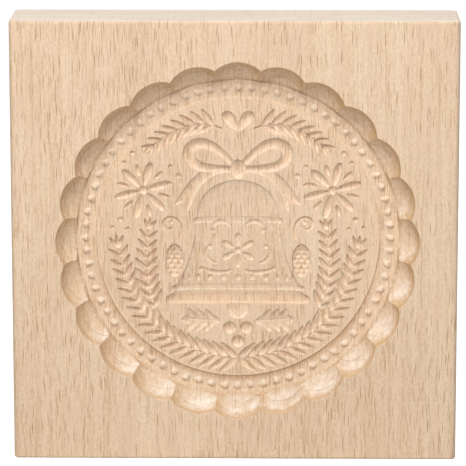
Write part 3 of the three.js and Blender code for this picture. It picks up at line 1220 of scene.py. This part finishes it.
def cutter_layers(nodes, wood, zones, place):
    """What the cutters leave, small spots and scorched scoops, with a painted highlight and
    painted shade at the field's lower edge and in the crease.
    """
    mottle = nodes.noise(place, (0.9, 0.9, 1.1), 3.0, 0.7)
    blotched = nodes.product(zones.carved, nodes.ramp(mottle, 0.3, 0.6, 0.3, 1.0))
    shares = (
        (field_edge_highlight(nodes, zones), nodes.ramp(mottle, 0.35, 0.6, 0.2, 1.0)),
        (zones.rough, nodes.ramp(mottle, 0.45, 0.7, 0.0, 0.3)),
        (zones.rough, nodes.ramp(mottle, 0.3, 0.5, 0.35, 0.0)),
        (blotched, scoop_ends(nodes, zones)),
        (blotched, crease_shade(nodes, zones)),
    )
    colours = (wood.pale, wood.burnish_and_shade, wood.end_grain, wood.burnish_and_shade, wood.ring)
    return [(nodes.product(*pair), colour) for pair, colour in zip(shares, colours)]


def beech(wood, recess):
    """Planed and carved beech, with its grain along Z."""
    material = bpy.data.materials.new("beech")
    nodes = Wiring(material)
    zones = Zones(nodes, recess)
    place = wavering(nodes, zones.place)
    fibres = nodes.noise(place, (0.34, 0.34, 22), 1.0, 0.6)
    pores = nodes.noise(place, (0.22, 0.22, 1.1), 1.0, 0.6)
    # Painted light on carved walls that face up or left, towards the lamps.
    lit_share = lit_walls(nodes, zones, place)
    rays = rays_shown(nodes, wood, zones, place)
    layers = planed_layers(nodes, wood, zones, place, fibres, pores)
    layers += carved_layers(nodes, wood, zones, place, lit_share)
    layers += cutter_layers(nodes, wood, zones, place)
    layers.append((rays, wood.fleck))

    fuzz = nodes.noise(place, (0.6, 0.6, 0.8))
    coarse = nodes.line(zones.rough, 6.0, nodes.product(lit_share, 6.0))
    relief = nodes.less(nodes.total(fibres, nodes.product(coarse, fuzz)), rays)
    bump = {"Strength": 0.3, "Distance": 0.05 * MM, "Height": relief}
    shader = {
        "Base Color": nodes.painted(wood.pale, layers),
        "Roughness": nodes.ramp(pores, 0.2, 0.8, 0.7, 0.62),
        "Normal": nodes.add("Bump", bump),
        "Specular IOR Level": 0.25,
    }
    nodes.finish(nodes.add("BsdfPrincipled", shader))
    return material


# Stage

# Width, azimuth, elevation and distance of each round lamp, in metres and degrees.
LAMPS = {
    "key": (0.6, -8, 44.5, 0.8),
    "front": (1.2, 8, 22, 2.0),
    "top": (0.4, 180, 80, 0.8),
}


def seen_directly(nodes):
    """One for rays that come from the camera, a mirror or glass, and nought for others."""
    path = nodes.add("LightPath", {}).node.outputs
    seen = nodes.maths("MAXIMUM", path["Is Camera Ray"], path["Is Glossy Ray"])
    return nodes.maths("MAXIMUM", seen, path["Is Transmission Ray"])


def floor_paint(stage):
    """Pale matt paint that still shows a shadow."""
    material = bpy.data.materials.new("floor")
    nodes = Wiring(material)
    matt = nodes.add("BsdfDiffuse", {"Color": stage.floor_colour})
    strength = nodes.product(seen_directly(nodes), stage.floor_glow)
    glow = nodes.add("Emission", {"Color": WHITE, "Strength": strength})
    nodes.finish(nodes.add("AddShader", {0: matt, 1: glow}))
    return material


def floor(stage):
    """The square floor on which the block stands."""
    bm = bmesh.new()
    bmesh.ops.create_grid(bm, x_segments=1, y_segments=1, size=stage.floor_size / 2)
    made = finished(bm, "floor")
    made.data.materials.append(floor_paint(stage))


def white_world(stage):
    """White where it is seen, and soft even light on the object."""
    world = bpy.data.worlds.new("studio")
    bpy.context.scene.world = world
    nodes = Wiring(world)
    soft = nodes.add("Background", {"Color": WHITE, "Strength": stage.ambient})
    white = nodes.add("Background", {"Color": WHITE, "Strength": 1.0})
    either = nodes.add("MixShader", {0: seen_directly(nodes), 1: soft, 2: white})
    nodes.finish(either, "OutputWorld")


def around(middle, azimuth, elevation, distance):
    """A place at a bearing from the middle; azimuth 0 is in front of the carved face."""
    level = cos(elevation)
    right, ahead = sin(azimuth) * level, -cos(azimuth) * level
    return middle + Vector((right, ahead, sin(elevation))) * distance


def faced(data, place, target):
    """Puts a camera or a lamp at a place, turned to its target."""
    made = bpy.data.objects.new(data.name, data)
    turn = (target - place).to_track_quat("-Z", "Y")
    made.matrix_world = Matrix.Translation(place) @ turn.to_matrix().to_4x4()
    bpy.context.scene.collection.objects.link(made)
    return made


def lamp(name, power, size, azimuth, elevation, distance):
    """A round lamp that shines on the middle of the block."""
    data = bpy.data.lights.new(name, "AREA")
    data.shape = "DISK"
    data.size = size
    data.energy = power
    turns = (radians(azimuth), radians(elevation))
    faced(data, around(BLOCK_MIDDLE, *turns, distance), BLOCK_MIDDLE)


def camera(stage):
    """The camera that the picture is taken with."""
    data = bpy.data.cameras.new("camera")
    data.angle = stage.view_angle
    target = BLOCK_MIDDLE + Vector((stage.aim_right, 0, stage.aim_up))
    place = around(target, stage.azimuth, stage.elevation, stage.distance)
    made = faced(data, place, target)
    made.matrix_world @= Matrix.Rotation(stage.roll, 4, "Z")
    bpy.context.scene.camera = made


# Operators


class MOULD_OT_carve_block(bpy.types.Operator):
    """Carve the cookie mould from one block of beech"""

    bl_idname = "mould.carve_block"
    bl_label = "Carve Block"
    bl_options = {"REGISTER", "UNDO"}

    def execute(self, context):
        scene = context.scene
        piece = carved(scene.mould_block, scene.mould_recess, scene.mould_picture)
        piece.data.materials.clear()
        piece.data.materials.append(beech(scene.mould_wood, scene.mould_recess))
        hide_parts("mould_block")
        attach(piece, "root")
        return {"FINISHED"}


class MOULD_OT_set_stage(bpy.types.Operator):
    """Add the floor, the soft lamps and the camera"""

    bl_idname = "mould.set_stage"
    bl_label = "Set Stage"
    bl_options = {"REGISTER", "UNDO"}

    def execute(self, context):
        stage = context.scene.mould_stage
        floor(stage)
        white_world(stage)
        for name, setup in LAMPS.items():
            lamp(name + "_lamp", getattr(stage, name + "_power"), *setup)
        camera(stage)
        context.scene.view_settings.view_transform = "Standard"
        return {"FINISHED"}


class MOULD_PT_panel(bpy.types.Panel):
    """Lists the steps and the settings of the cookie mould"""

    bl_idname = "MOULD_PT_panel"
    bl_label = "Cookie Mould"
    bl_space_type = "VIEW_3D"
    bl_region_type = "UI"
    bl_category = "Cookie Mould"

    def draw(self, context):
        layout = self.layout
        for operator in OPERATORS:
            layout.operator(operator.bl_idname)
        for name, title, _ in SETTINGS:
            box = layout.box()
            box.label(text=title)
            group = getattr(context.scene, name)
            for key in group.__annotations__:
                box.prop(group, key)


OPERATORS = (MOULD_OT_carve_block, MOULD_OT_set_stage)
SETTINGS = (
    ("mould_block", "Block", BlockSettings),
    ("mould_recess", "Recess", RecessSettings),
    ("mould_picture", "Picture", PictureSettings),
    ("mould_wood", "Wood", WoodSettings),
    ("mould_stage", "Stage", StageSettings),
)


def register():
    for name, _, group in SETTINGS:
        bpy.utils.register_class(group)
        setattr(bpy.types.Scene, name, PointerProperty(type=group))
    for operator in OPERATORS:
        bpy.utils.register_class(operator)
    bpy.utils.register_class(MOULD_PT_panel)


def unregister():
    bpy.utils.unregister_class(MOULD_PT_panel)
    for operator in reversed(OPERATORS):
        bpy.utils.unregister_class(operator)
    for name, _, group in reversed(SETTINGS):
        delattr(bpy.types.Scene, name)
        bpy.utils.unregister_class(group)


def main():
    register()
    bpy.ops.mould.carve_block()
    bpy.ops.mould.set_stage()


if __name__ == "__main__":
    main()
